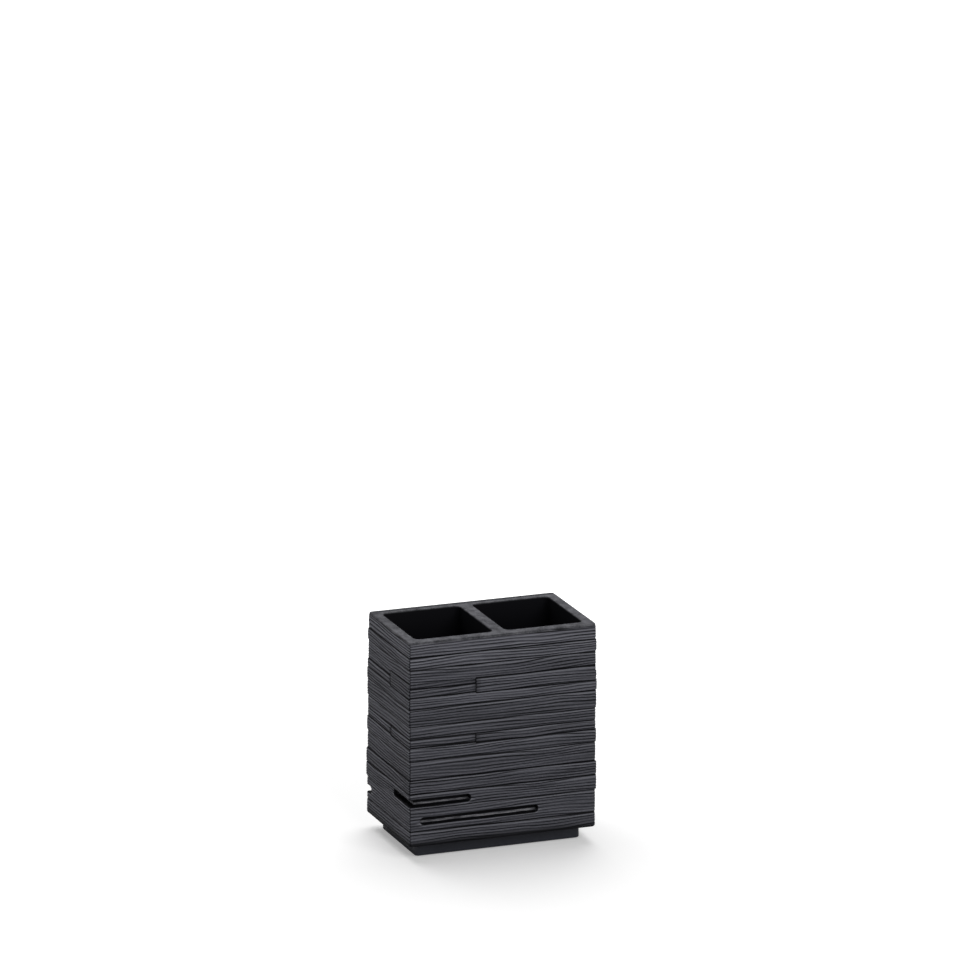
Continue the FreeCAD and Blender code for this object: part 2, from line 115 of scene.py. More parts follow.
class Bench:
    """Modelling steps done with Blender's own operators, as by hand."""

    @staticmethod
    def clear() -> None:
        """Deselect every object."""
        bpy.ops.object.select_all(action="DESELECT")

    @staticmethod
    def take(piece: bpy.types.Object) -> None:
        """Select one piece alone and make it active."""
        Bench.clear()
        piece.select_set(True)
        bpy.context.view_layer.objects.active = piece

    @staticmethod
    def settle(name: str) -> bpy.types.Object:
        """Name the new active piece and move its place into its mesh.

        Args:
            name: The name of the piece and of its mesh.

        Returns:
            The piece, at the origin, unturned and unscaled.
        """
        piece = bpy.context.object
        piece.name = name
        piece.data.name = name
        bpy.ops.object.transform_apply(location=True, rotation=True, scale=True)
        return piece

    @staticmethod
    def block(name: str, low: Vector, high: Vector) -> bpy.types.Object:
        """Add a block between two corners.

        Args:
            name: The name of the piece.
            low: The lowest corner, in metres.
            high: The highest corner, in metres.

        Returns:
            The new piece.
        """
        Bench.clear()
        bpy.ops.mesh.primitive_cube_add(size=1.0, location=(low + high) / 2, scale=high - low)
        return Bench.settle(name)

    @staticmethod
    def disc(name: str, low: Vector, high: Vector, sides: int) -> bpy.types.Object:
        """Add an upright cylinder inside a box.

        Args:
            name: The name of the piece.
            low: The lowest corner of the box, in metres.
            high: The highest corner of the box, in metres.
            sides: How many facets go round.

        Returns:
            The new piece.
        """
        Bench.clear()
        bpy.ops.mesh.primitive_cylinder_add(
            vertices=sides,
            radius=(high.x - low.x) / 2,
            depth=high.z - low.z,
            location=(low + high) / 2,
        )
        return Bench.settle(name)

    @staticmethod
    @contextmanager
    def edit(piece: bpy.types.Object) -> Iterator[None]:
        """Work on a piece in edit mode for the length of a with block."""
        Bench.take(piece)
        bpy.ops.object.mode_set(mode="EDIT")
        bpy.ops.mesh.select_all(action="DESELECT")
        yield
        bpy.ops.object.mode_set(mode="OBJECT")

    @staticmethod
    def pick(piece: bpy.types.Object, kind: Pick, wanted: Callable[[Any], bool]) -> None:
        """Select the elements of the edited mesh that meet a condition.

        Args:
            piece: The piece in edit mode.
            kind: What is picked.
            wanted: The condition on one element.
        """
        mode, collection = kind.value
        bpy.ops.mesh.select_all(action="DESELECT")
        bpy.ops.mesh.select_mode(type=mode)
        mesh = bmesh.from_edit_mesh(piece.data)
        for item in getattr(mesh, collection):
            if wanted(item):
                item.select_set(True)
        mesh.select_flush_mode()
        bmesh.update_edit_mesh(piece.data)

    @staticmethod
    def bevel(width: float, segments: int) -> None:
        """Round the picked edges by a width in metres."""
        bpy.ops.mesh.bevel(offset=width, segments=segments, profile=0.5, affect="EDGES")

    @staticmethod
    def extrude(move: Sequence[float] = (0.0, 0.0, 0.0)) -> None:
        """Extrude what is picked and move it, in metres."""
        bpy.ops.mesh.extrude_region_move(TRANSFORM_OT_translate={"value": tuple(move)})

    @staticmethod
    def spread(across: float, along: float, middle: float = 0.0) -> None:
        """Scale what is picked in x and y about an upright axis at a y in metres."""
        bpy.ops.transform.resize(value=(across, along, 1.0), center_override=(0.0, middle, 0.0))

    @staticmethod
    def cut(piece: bpy.types.Object, cutter: bpy.types.Object) -> None:
        """Take the shape of a cutter out of a piece and discard the cutter."""
        Bench.take(piece)
        modifier = piece.modifiers.new("cut", "BOOLEAN")
        modifier.operation = "DIFFERENCE"
        modifier.solver = "EXACT"
        modifier.object = cutter
        bpy.ops.object.modifier_apply(modifier=modifier.name)
        bpy.data.objects.remove(cutter)

    @staticmethod
    def smooth(piece: bpy.types.Object, angle: float) -> None:
        """Shade a piece smooth where its faces meet at less than an angle in degrees."""
        Bench.take(piece)
        bpy.ops.object.shade_smooth_by_angle(angle=math.radians(angle))


def flat_at(level: float) -> Callable[[bmesh.types.BMEdge], bool]:
    """A condition for edges that lie flat at a height, in metres."""
    return lambda edge: all(abs(corner.co.z - level) < SAME_LEVEL for corner in edge.verts)


def upright(edge: bmesh.types.BMEdge) -> bool:
    """Whether an edge stands upright."""
    run = edge.verts[1].co - edge.verts[0].co
    return abs(run.z) > STRAIGHT * run.length


def step(low: float, high: float, value: float) -> float:
    """A smooth step from 0 at a low value to 1 at a high one."""
    share = min(max((value - low) / (high - low), 0.0), 1.0)
    return share * share * (3.0 - 2.0 * share)


def shoulder(distance: float, width: float) -> float:
    """A quarter-round rise from 0 at an edge to 1 at a width inside it."""
    left = 1.0 - min(max(distance / width, 0.0), 1.0)
    return math.sqrt(1.0 - left * left)


Value = Union["Socket", float]


class Socket:
    """An output of a shader node that does maths with Python's operators."""

    def __init__(self, board: "Board", link: bpy.types.NodeSocket) -> None:
        """Wrap one output of a node on a board."""
        self.board = board
        self.link = link

    def __add__(self, other: Value) -> "Socket":
        """The sum with another value."""
        return self.board.maths("ADD", self, other)

    def __radd__(self, other: Value) -> "Socket":
        """The sum with a value on the left."""
        return self.board.maths("ADD", other, self)

    def __sub__(self, other: Value) -> "Socket":
        """The difference from another value."""
        return self.board.maths("SUBTRACT", self, other)

    def __rsub__(self, other: Value) -> "Socket":
        """A value on the left less this one."""
        return self.board.maths("SUBTRACT", other, self)

    def __mul__(self, other: Value) -> "Socket":
        """The product with another value."""
        return self.board.maths("MULTIPLY", self, other)

    def __rmul__(self, other: Value) -> "Socket":
        """The product with a value on the left."""
        return self.board.maths("MULTIPLY", other, self)

    def __truediv__(self, other: Value) -> "Socket":
        """The quotient by another value."""
        return self.board.maths("DIVIDE", self, other)

    def __rtruediv__(self, other: Value) -> "Socket":
        """A value on the left over this one."""
        return self.board.maths("DIVIDE", other, self)

    def __abs__(self) -> "Socket":
        """The value without its sign."""
        return self.board.maths("ABSOLUTE", self)


@dataclass(frozen=True)
class Mottle:
    """Noise in a finish, with the size of a feature across and in height in millimetres."""

    run: float
    rise: float
    detail: float
    roughness: float


@dataclass(frozen=True)
class Grain:
    """Long thin lines in a finish, with their run between bends and their pitch in millimetres.

    How far they bend, and the height over which that changes, are counted in pitches.
    """

    run: float
    pitch: float
    bend: float = 3.6
    bend_rise: float = 4.0


class Board:
    """The node tree of one material or world, with its shader."""

    def __init__(self, name: str, world: bool = False) -> None:
        """Start a material or a world.

        Args:
            name: The name that it gets.
            world: Whether it is a world.
        """
        self.owner = (bpy.data.worlds if world else bpy.data.materials).new(name)
        self.owner.use_nodes = True
        self.tree = self.owner.node_tree
        self.shader = self.tree.nodes["Background" if world else "Principled BSDF"]

    def add(
        self,
        kind: str,
        settings: Optional[dict[str, Any]] = None,
        inputs: Optional[dict[Union[str, int], Any]] = None,
        output: Union[str, int] = 0,
    ) -> Socket:
        """Add a node.

        Args:
            kind: The type of the node.
            settings: Properties that are set before the sockets.
            inputs: Values or sockets for the node's inputs.
            output: The output that is wanted.

        Returns:
            That output.
        """
        node = self.tree.nodes.new(kind)
        for name, value in (settings or {}).items():
            setattr(node, name, value)
        for name, value in (inputs or {}).items():
            self.feed(node.inputs[name], value)
        return Socket(self, node.outputs[output])

    def feed(self, target: bpy.types.NodeSocket, value: Any) -> None:
        """Link a socket to an input, or set the input to a plain value."""
        if isinstance(value, Socket):
            self.tree.links.new(value.link, target)
        elif isinstance(value, tuple) and len(value) == 3 and target.type == "RGBA":
            target.default_value = (*value, 1.0)
        else:
            target.default_value = value

    def maths(self, operation: str, *values: Value) -> Socket:
        """One Math node on values or sockets."""
        return self.add("ShaderNodeMath", {"operation": operation}, dict(enumerate(values)))

    def between(self, low: float, high: float, value: Socket) -> Socket:
        """A smooth step from 0 at a low value to 1 at a high one."""
        return self.add(
            "ShaderNodeMapRange",
            {"interpolation_type": "SMOOTHSTEP"},
            {"Value": value, "From Min": low, "From Max": high},
        )

    def blend(self, share: Value, first: Any, second: Any) -> Socket:
        """Mix two colours, given as values or sockets, by the share of the second one."""
        return self.add("ShaderNodeMix", {"data_type": "RGBA"}, {0: share, 6: first, 7: second}, 2)

    def place(self) -> Socket:
        """Object coordinates, in metres."""
        return self.add("ShaderNodeTexCoord", output="Object")

    def axes(self, place: Socket) -> tuple[Socket, Socket, Socket]:
        """The x, y and z of a place."""
        split = self.add("ShaderNodeSeparateXYZ", inputs={0: place}).link.node
        return tuple(Socket(self, output) for output in split.outputs)

    def noise(self, place: Socket, mottle: Mottle, seed: Value = 0.0) -> Socket:
        """Noise between 0 and 1.

        Args:
            place: Object coordinates.
            mottle: The kind of noise.
            seed: A number that picks one of many patterns.

        Returns:
            The noise.
        """
        scale = tuple(1.0 / (size * MM) for size in (mottle.run, mottle.run, mottle.rise))
        drawn = self.add("ShaderNodeVectorMath", {"operation": "MULTIPLY"}, {0: place, 1: scale})
        inputs = {
            "Vector": drawn,
            "W": seed,
            "Scale": 1.0,
            "Detail": mottle.detail,
            "Roughness": mottle.roughness,
        }
        return self.add("ShaderNodeTexNoise", {"noise_dimensions": "4D"}, inputs)

    def furrows(self, place: Socket, grain: Grain, seed: Value) -> Socket:
        """Long thin lines of grain.

        Args:
            place: Object coordinates.
            grain: The kind of lines.
            seed: A number that picks one of many patterns.

        Returns:
            0 in the middle of a line and 1 between the lines.
        """
        waver = Mottle(grain.run, grain.bend_rise * grain.pitch, detail=1.0, roughness=0.45)
        bend = self.noise(place, waver, seed) * grain.bend
        height = self.axes(place)[2] / (grain.pitch * MM)
        wave = self.maths("SINE", (height + bend + seed) * math.tau)
        return 1.0 - self.between(*FURROW, wave)

    def marked(self, name: str) -> Socket:
        """A number that the mesh carries at each point."""
        return self.add("ShaderNodeAttribute", {"attribute_name": name}, output="Fac")

    def bump(self, height: Socket, depth: float, strength: float) -> Socket:
        """The normal bent by a height between 0 and 1, where 1 is a depth in millimetres."""
        inputs = {"Height": height, "Distance": depth * MM, "Strength": strength}
        return self.add("ShaderNodeBump", None, inputs)

    def dress(self, **sockets: Any) -> Union[bpy.types.Material, bpy.types.World]:
        """Set the shader's sockets, named with underscores for spaces, and give its owner."""
        for name, value in sockets.items():
            self.feed(self.shader.inputs[name.replace("_", " ")], value)
        return self.owner


@dataclass(frozen=True)
class SlatFinish:
    """Charcoal resin whose grain is dry-brushed lighter over a near-black wash, with painted
    highlights, a painted pool of light with glints in the slots, and painted shade.
    """

    wash: Colour = (0.0034, 0.0034, 0.0044)
    body: Colour = (0.046, 0.0467, 0.0556)
    brushed: Colour = (0.138, 0.1393, 0.1625)
    # Painted highlight colour, for the slats' top edges, the slot sills and part of the ridges.
    glint: Colour = (0.225, 0.226, 0.255)
    # Colours of the painted pool of light and its painted glints on the slot floors.
    strip_dark: Colour = (0.095, 0.095, 0.107)
    strip_light: Colour = (0.33, 0.33, 0.355)
    hairs: Grain = Grain(20.0, 0.62)
    hair_seed: float = 4.0
    hair_depth: float = 0.28
    bands: Mottle = Mottle(45.0, 1.4, 2.0, 0.55)
    band_seed: float = 2.0
    band_span: Span = (0.15, 0.85)
    flecks: Mottle = Mottle(1.6, 0.32, 2.0, 0.6)
    fleck_height: float = 0.15
    tone_share: float = 0.3
    # Dry-brushed grain ridges, lifted further towards the glint colour as a painted highlight.
    ridge_span: Span = (0.0, 0.9)
    ridge_share: float = 0.25
    rub_and_glint_span: Span = (0.45, 1.0)
    rub_and_glint_share: float = 0.5
    arris_highlight_share: float = 0.55
    # The mottle of painted glints in that pool of light.
    glint_mottle: Mottle = Mottle(5.0, 0.8, 3.0, 0.6)
    glint_span: Span = (0.34, 0.68)
    roughness: float = 0.60
    roughness_spread: float = 0.2
    slot_roughness: float = 0.40
    specular: float = 0.08
    bump_depth: float = 0.14
    bump_strength: float = 0.8

    def material(self) -> bpy.types.Material:
        """Make the finish."""
        board = Board("dry_brushed_slats")
        place = board.place()
        names = ("line", "furrow", "arris_highlight", "hollow_and_shade", "slot", "tone", "slat")
        line, furrow, arris_highlight, hollow_and_shade, slot, tone, seed = map(board.marked, names)
        wave = board.maths("SINE", line * math.tau)
        hairs = board.furrows(place, self.hairs, seed + self.hair_seed)
        bands = board.noise(place, self.bands, seed + self.band_seed)
        flecks = board.noise(place, self.flecks)
        cut = 1.0 - board.between(*FURROW, wave) * furrow
        cut = cut * (1.0 - self.hair_depth + hairs * self.hair_depth)
        lift = board.between(*self.band_span, bands) + tone * self.tone_share + (flecks - 0.5)
        light = board.blend(lift, self.body, self.brushed)
        # The grain's ridges are dry-brushed lighter and lifted towards the glint colour as a
        # painted highlight.
        ridge = board.between(*self.ridge_span, wave * -1.0) * hairs
        rub_and_glint = self.ridge_share + board.between(*self.rub_and_glint_span, tone) * self.rub_and_glint_share
        light = board.blend(ridge * rub_and_glint, light, self.glint)
        # Painted highlight along the slats' top edges, where light catches them.
        light = board.blend(arris_highlight * self.arris_highlight_share, light, self.glint)
        colour = board.blend(cut, self.wash, light)
        # A painted pool of light with painted glints on the lower part of each slot's floor.
        glints_and_rubbed_rim = board.between(*self.glint_span, board.noise(place, self.glint_mottle))
        strip = board.blend(glints_and_rubbed_rim, self.strip_dark, self.strip_light)
        colour = board.blend(slot, colour, strip)
        # The near-black wash darkens joints, furrows and edges, and stands as painted shade in the
        # slots and at the sleeve's foot.
        colour = board.blend(hollow_and_shade, colour, self.wash)
        gloss = self.roughness + (flecks - 0.5) * self.roughness_spread
        gloss = gloss + slot * (self.slot_roughness - self.roughness)
        height = cut * (1.0 - slot) + flecks * self.fleck_height
        normal = board.bump(height, self.bump_depth, self.bump_strength)
        return board.dress(
            Base_Color=colour, Roughness=gloss, Normal=normal, Specular_IOR_Level=self.specular
        )


@dataclass(frozen=True)
class LinerFinish:
    """Smooth resin, rubbed grey on the rim and left near black inside the wells, which darken
    further with depth as painted shade.
    """

    # Near black inside the wells, painted darker from the mouth downwards as painted shade.
    well: Colour = (0.0026, 0.0025, 0.0036)
    mouth: Colour = (0.0074, 0.0073, 0.0094)
    rim_dark: Colour = (0.034, 0.0345, 0.039)
    rim_light: Colour = (0.150, 0.1505, 0.165)
    furrow: Colour = (0.010, 0.010, 0.0115)
    worn_depths: Span = (0.9, 0.05)
    mouth_depth: float = 16.0
    side_span: Span = (0.955, 0.975)
    rear_strip: Span = (4.2, 2.0)
    rear_loss: float = 0.8
    clouds: Mottle = Mottle(5.0, 5.0, 3.0, 0.6)
    grain: Mottle = Mottle(0.8, 0.8, 3.0, 0.6)
    cloud_share: float = 0.6
    shade_span: Span = (0.30, 0.70)
    lines: Grain = Grain(45.0, 1.5)
    roughness: float = 0.6
    roughness_spread: float = 0.24
    specular: float = 0.06
    grain_height: float = 0.6
    bump_depth: float = 0.09
    bump_strength: float = 0.6

    def material(self, high: Vector, middle: float) -> bpy.types.Material:
        """Make the finish.

        Args:
            high: The corner of the rim's top towards +x and +y, in metres.
            middle: The y of the liner's middle, in metres.

        Returns:
            The material.
        """
        board = Board("rubbed_liner")
        place = board.place()
        x, y, z = board.axes(place)
        glints_and_rubbed_rim = board.between(*(high.z - depth * MM for depth in self.worn_depths), z)
        out = board.maths("MAXIMUM", abs(x) / high.x, abs(y - middle) / (high.y - middle))
        side = board.between(*self.side_span, out)
        rear = board.between(*(high.y - inset * MM for inset in self.rear_strip), y)
        clouds = board.noise(place, self.clouds)
        grain = board.noise(place, self.grain)
        lines = board.furrows(place, self.lines, 0.0)
        mottle = clouds * self.cloud_share + grain * (1.0 - self.cloud_share)
        shade = board.between(*self.shade_span, mottle) * (1.0 - rear * self.rear_loss)
        grey = board.blend(shade, self.rim_dark, self.rim_light)
        cut = 1.0 - (1.0 - lines) * side * (1.0 - glints_and_rubbed_rim)
        grey = board.blend(cut, self.furrow, grey)
        # Painted shade: the wells darken from the mouth downwards.
        near_mouth = board.between(high.z - self.mouth_depth * MM, high.z, z)
        inside = board.blend(near_mouth, self.well, self.mouth)
        colour = board.blend(board.maths("MAXIMUM", glints_and_rubbed_rim, side), inside, grey)
        gloss = self.roughness + (grain - 0.5) * self.roughness_spread
        height = grain * self.grain_height + clouds * (1.0 - self.grain_height) + cut
        normal = board.bump(height, self.bump_depth, self.bump_strength)
        return board.dress(
            Base_Color=colour, Roughness=gloss, Normal=normal, Specular_IOR_Level=self.specular
        )


@dataclass(frozen=True)
class MattFinish:
    """A plain matt finish with a faint mottle."""

    name: str
    dark: Colour
    light: Colour
    clouds: Mottle
    cloud_span: Span
    grain: Mottle
    bump_depth: float
    bump_strength: float
    roughness: float
    roughness_spread: float
    specular: float = 0.3

    def material(self) -> bpy.types.Material:
        """Make the finish."""
        board = Board(self.name)
        place = board.place()
        clouds = board.noise(place, self.clouds)
        grain = board.noise(place, self.grain)
        colour = board.blend(board.between(*self.cloud_span, clouds), self.dark, self.light)
        gloss = self.roughness + (clouds - 0.5) * self.roughness_spread
        normal = board.bump(grain, self.bump_depth, self.bump_strength)
        return board.dress(
            Base_Color=colour, Roughness=gloss, Normal=normal, Specular_IOR_Level=self.specular
        )


BLACK_RESIN = MattFinish(
    "black_plinth",
    dark=(0.0295, 0.0321, 0.0414),
    light=(0.0346, 0.0374, 0.0480),
    clouds=Mottle(7.0, 5.0, 3.0, 0.55),
    cloud_span=(0.3, 0.75),
    grain=Mottle(0.6, 0.6, 2.0, 0.6),
    bump_depth=0.03,
    bump_strength=0.5,
    roughness=0.5,
    roughness_spread=0.3,
)
RUBBER = MattFinish(
    "foot_rubber",
    dark=(0.014, 0.014, 0.014),
    light=(0.03, 0.03, 0.031),
    clouds=Mottle(1.4, 1.4, 4.0, 0.65),
    cloud_span=(0.4, 0.8),
    grain=Mottle(0.25, 0.25, 2.0, 0.5),
    bump_depth=0.02,
    bump_strength=0.6,
    roughness=0.8,
    roughness_spread=0.2,
)


@dataclass(frozen=True)
class Slot:
    """A round-ended slot in one face, in millimetres of that face."""

    face: Face
    start: float
    end: float
    level: float
    height: float

    def depth_inside(self, across: float, up: float) -> float:
        """How far a point lies inside the slot's outline, negative outside it."""
        radius = self.height / 2
        nearest = min(max(across, self.start + radius), self.end - radius)
        return radius - math.hypot(across - nearest, up - self.level)


@dataclass(frozen=True)
class Mark:
    """What the carver leaves at one point of a face, with the painted highlights, light and shade
    that its finish follows.
    """

    stand_off: float
    line: float
    furrow: float
    arris_highlight: float
    hollow_and_shade: float
    slot: float
    tone: float
    slat: float


@dataclass(frozen=True)
class Ripple:
    """One layer of noise over a face, with the size of a feature in millimetres."""

    run: float
    rise: float
    seed: float = 0.0

    def at(self, across: float, up: float, seed: float) -> float:
        """The noise at a point of a face, in the pattern that a seed picks."""
        return noise.noise(Vector((across / self.run, up / self.rise, seed + self.seed)))


@dataclass
class SlatPattern:
    """Courses, joints, slots and grain of the four faces, in millimetres.

    A face is seen from outside, with across counted from its middle and up from the sleeve's
    underside. Courses are counted from the plinth.
    """

    half_width: float
    half_depth: float = 27.1
    back_lean: float = 3.2
    courses: tuple[float, ...] = (
        7.6, 11.0, 7.2, 6.8, 9.0, 6.2, 4.6, 6.0, 8.6, 4.8, 7.2, 6.8, 5.8, 6.2,
    )
    reliefs: tuple[Relief, ...] = (
        Relief.SHY, Relief.SHY, Relief.PROUD, Relief.PROUD, Relief.SHY, Relief.FLUSH, Relief.SHY,
        Relief.SHY, Relief.FLUSH, Relief.PROUD, Relief.FLUSH, Relief.SHY, Relief.FLUSH, Relief.SHY,
    )
    split_courses: tuple[int, ...] = (6, 10)
    left_shifts: dict[int, float] = field(default_factory=lambda: {5: 0.6, 9: 0.7, 10: -2.5})
    long_butt_reach: float = 32.0
    short_butt_reach: float = 29.75
    slots: tuple[Slot, ...] = (
        Slot(Face.FRONT, -200.0, -16.2, 21.6, 3.3),
        Slot(Face.LEFT, 7.5, 200.0, 21.6, 3.3),
        Slot(Face.FRONT, -40.8, 17.4, 12.45, 3.5),
        Slot(Face.LEFT, -200.0, -22.1, 12.45, 3.5),
        Slot(Face.BACK, 16.2, 200.0, 12.45, 3.5),
    )
    slot_floor: float = 2.3
    slot_lip: float = 0.10
    slot_wall: float = 0.22
    # How far in from the slot's outline the wash and painted shadow reach.
    slot_wash_and_shade: Span = (-0.34, -0.136)
    # The painted highlight along each slot's sill.
    sill_rise: Span = (-0.95, -0.65)
    sill_fall: Span = (-0.42, -0.25)
    sill_glint: float = 1.5
    # The painted pool of light on each slot's floor.
    strip_start: Span = (-1.70, -1.50)
    strip_end: Span = (-0.65, -0.35)
    strip_sink: Span = (0.9, 1.0)
    upper_round: float = 0.36
    lower_round: float = 0.22
    end_round: float = 0.30
    corner_round: float = 0.25
    corner_notch: float = 0.12
    notch_span: Span = (0.0, 0.4)
    corner_overhang: float = 0.7
    crown: float = 0.10
    # The painted highlight under each joint, on the top edge of the slat below.
    arris_rise: Span = (0.30, 0.65)
    arris_fall: Span = (1.0, 1.7)
    joint_wash: Span = (0.18, 0.46)
    edge_wash: Span = (0.30, 0.85)
    foot_round: float = 1.0
    # Painted shade at the foot of the sleeve, darker towards the bottom.
    foot_shade_span: Span = (0.6, 4.2)
    foot_shade: float = 0.95
    grain_depth: float = 0.15
    grain_start: Span = (0.6, 3.0)
    comb_pitch: float = 1.4
    comb_bend: float = 0.95
    comb_seeds: Span = (17.3, 5.1)
    hair_seeds: Span = (0.37, 13.0)
    long_bend: Ripple = Ripple(45.0, 8.0)
    short_bend: Ripple = Ripple(20.0, 4.0, 9.2)
    short_share: float = 0.35
    fading: Ripple = Ripple(30.0, 1.3, 21.0)
    fading_span: Span = (-0.35, 0.25)
    faintest: float = 0.52
    wander: float = 0.30
    wander_hold: Span = (0.4, 5.0)
    quick_share: float = 0.35
    # Lighter towards the top of the sleeve.
    top_lightening: float = 0.9
    top_lightening_depths: Span = (14.0, 3.0)
    joint_scores: tuple[float, ...] = (0.0, 0.07, 0.18, 0.32, 0.46)
    foot_scores: tuple[float, ...] = (0.15, 0.4, 0.75, 1.2, 1.7)
    slot_scores: tuple[float, ...] = (-0.2, -0.08, 0.04, 0.16, 0.28, 0.42, 0.6)
    slot_end_scores: tuple[float, ...] = (-0.25, -0.05, 0.15, 0.4, 0.7, 1.1, 1.6)
    corner_scores: tuple[float, ...] = (0.14, 0.26, 0.5, 1.2, 2.6)
    butt_scores: tuple[float, ...] = (0.0, 0.12, 0.34)

    def __post_init__(self) -> None:
        """Work out the heights of the joints on both sides of the butt joint."""
        self.joints: list[float] = []
        level = 0.0
        for height in self.courses:
            level += height
            self.joints.append(level)
        self.left_joints = [
            joint + self.left_shifts.get(course, 0.0) for course, joint in enumerate(self.joints)
        ]
        self.height = level

    def half_length(self, face: Face) -> float:
        """Half the length of a face, to its corners."""
        return self.half_width if face in (Face.FRONT, Face.BACK) else self.half_depth

    def lean(self, point: Vector) -> float:
        """How far a point of the faces is drawn back by the leaning back."""
        return self.back_lean * (1.0 - point.z / self.height) * max(point.y / self.half_depth, 0.0)

    def butt(self, face: Face) -> float:
        """Where the slats of a split course meet end to end on a face."""
        reach = self.long_butt_reach if face in (Face.FRONT, Face.BACK) else self.short_butt_reach
        return reach - self.half_length(face)

    def drift(self, point: Vector) -> float:
        """How far the joints wander up or down at a point, in millimetres."""
        up = point.z
        hold = step(*self.wander_hold, up) * step(*self.wander_hold, self.height - up)
        slow = noise.noise(Vector((point.x / 30.0, point.y / 30.0, up / 11.0)))
        quick = noise.noise(Vector((point.x / 9.0, point.y / 9.0, up / 7.0 + 31.0)))
        return hold * self.wander * (slow + self.quick_share * quick)

    def comb(self, face: Face, across: float, up: float, slat: int) -> tuple[float, float]:
        """The combed grain of a slat at a point.

        Args:
            face: The face that the slat is on.
            across: The place across the face.
            up: The height above the sleeve's underside.
            slat: The number of the slat, which sets its pattern apart.

        Returns:
            Which line of the comb it is, with a fraction, and how deep that line is, up to 1.
        """
        seed = self.comb_seeds[0] * slat + self.comb_seeds[1] * face.number
        bend = self.long_bend.at(across, up, seed)
        bend += self.short_share * self.short_bend.at(across, up, seed)
        shown = step(*self.fading_span, self.fading.at(across, up, seed))
        line = up / self.comb_pitch + self.comb_bend * bend + seed
        return line, self.faintest + (1.0 - self.faintest) * shown

    def mark(self, face: Face, across: float, up: float) -> Mark:
        """Carve one point.

        Args:
            face: The face that it is on.
            across: Its place across the face.
            up: Its height above the sleeve's underside.

        Returns:
            Its stand-off from the core and the numbers that its finish follows, painted highlights,
            light and shade among them.
        """
        butt = self.butt(face)
        last = len(self.courses) - 1
        here, there = self.joints, self.left_joints
        if across < butt:
            here, there = there, here
        course = min(bisect_right(here, up), last)
        across_the_butt = min(bisect_right(there, up), last)
        split = course in self.split_courses or course != across_the_butt
        slat = course * 2 + int(split and across < butt)

        start = here[course - 1] if course else 0.0
        below = up - start if course else math.inf
        above = here[course] - up if course < last else math.inf
        edge = shoulder(below, self.lower_round) * shoulder(above, self.upper_round)
        if split:
            edge *= shoulder(abs(across - butt), self.end_round)
        corner_gap = self.half_length(face) - abs(across)
        edge *= shoulder(corner_gap, self.corner_round)

        line, furrow = self.comb(face, across, up, slat)
        groove = furrow * step(*FURROW, math.sin(math.tau * line))
        middle = 2.0 * (up - start) / (here[course] - start) - 1.0
        stand_off = self.reliefs[course].value - self.crown * middle * middle
        stand_off -= self.grain_depth * groove * edge * step(*self.grain_start, up)
        notch = self.corner_notch * (1.0 - step(*self.notch_span, corner_gap))
        stand_off = stand_off * edge - notch
        stand_off -= self.foot_round * (1.0 - shoulder(up, self.foot_round))
        # Painted highlight on the rounded top edge of each slat, just under the joint above.
        arris_highlight = step(*self.arris_rise, above) * (1.0 - step(*self.arris_fall, above))
        near = min(below, above, abs(across - butt) if split else math.inf)
        hollow_and_shade = max(1.0 - step(*self.joint_wash, near), 1.0 - step(*self.edge_wash, edge))
        # Painted shade at the foot of the sleeve, darker towards the bottom.
        hollow_and_shade = max(hollow_and_shade, self.foot_shade * (1.0 - step(*self.foot_shade_span, up)))

        floor = 0.0
        for slot in self.slots:
            if slot.face is face:
                inside = slot.depth_inside(across, up)
                sunk = step(-self.slot_lip, self.slot_wall, inside)
                stand_off += (-self.slot_floor - stand_off) * sunk
                # Painted highlight along the lower edge of the slot.
                if up < slot.level:
                    sill_highlight = step(*self.sill_rise, inside) * (1.0 - step(*self.sill_fall, inside))
                    arris_highlight = max(arris_highlight, self.sill_glint * sill_highlight)
                # Inside the slot the wash also stands as painted shadow under the upper lip.
                if inside > self.slot_wash_and_shade[0]:
                    # A painted pool of light on the lower part of the slot's floor.
                    floor = step(*self.strip_sink, sunk) * self.strip(up - slot.level)
                    hollow_and_shade = max(hollow_and_shade, step(*self.slot_wash_and_shade, inside)) * (1.0 - floor)
        # Noise is 0 at whole numbers, so its places are kept off them.
        tone = noise.noise(Vector((slat * 3.37 + 0.5, face.number * 1.7 + 0.3, 0.4)))
        # Lighter towards the top: the tone rises over the top courses.
        tone += self.top_lightening * step(*(self.height - depth for depth in self.top_lightening_depths), up)
        pattern = slat * self.hair_seeds[0] + face.number * self.hair_seeds[1]
        return Mark(stand_off, line, furrow, arris_highlight, hollow_and_shade, floor, tone, pattern)

    def strip(self, up: float) -> float:
        """How much painted pool of light there is on a slot's floor at a height over its middle."""
        return step(*self.strip_start, up) * (1.0 - step(*self.strip_end, up))

    def levels(self, spacing: float) -> list[float]:
        """Heights at which the faces are scored, close together at joints and slots."""
        wanted = {0.0, *self.foot_scores, self.height}
        for joint in self.joints + self.left_joints:
            for gap in self.joint_scores:
                wanted.update((joint - gap, joint + gap))
        for slot in self.slots:
            radius = slot.height / 2
            for inset in self.slot_scores:
                wanted.update((slot.level - radius + inset, slot.level + radius - inset))
        return self.filled(wanted, 0.0, self.height, spacing)

    def columns(self, face: Face, spacing: float) -> list[float]:
        """Places across a face at which it is scored, close together at its upright details."""
        half = self.half_length(face)
        wanted = {-half, half}
        for gap in self.corner_scores:
            wanted.update((gap - half, half - gap))
        for gap in self.butt_scores:
            wanted.update((self.butt(face) - gap, self.butt(face) + gap))
        for slot in self.slots:
            if slot.face is face:
                for inset in self.slot_end_scores:
                    wanted.update((slot.start + inset, slot.end - inset))
        return self.filled(wanted, -half, half, spacing)

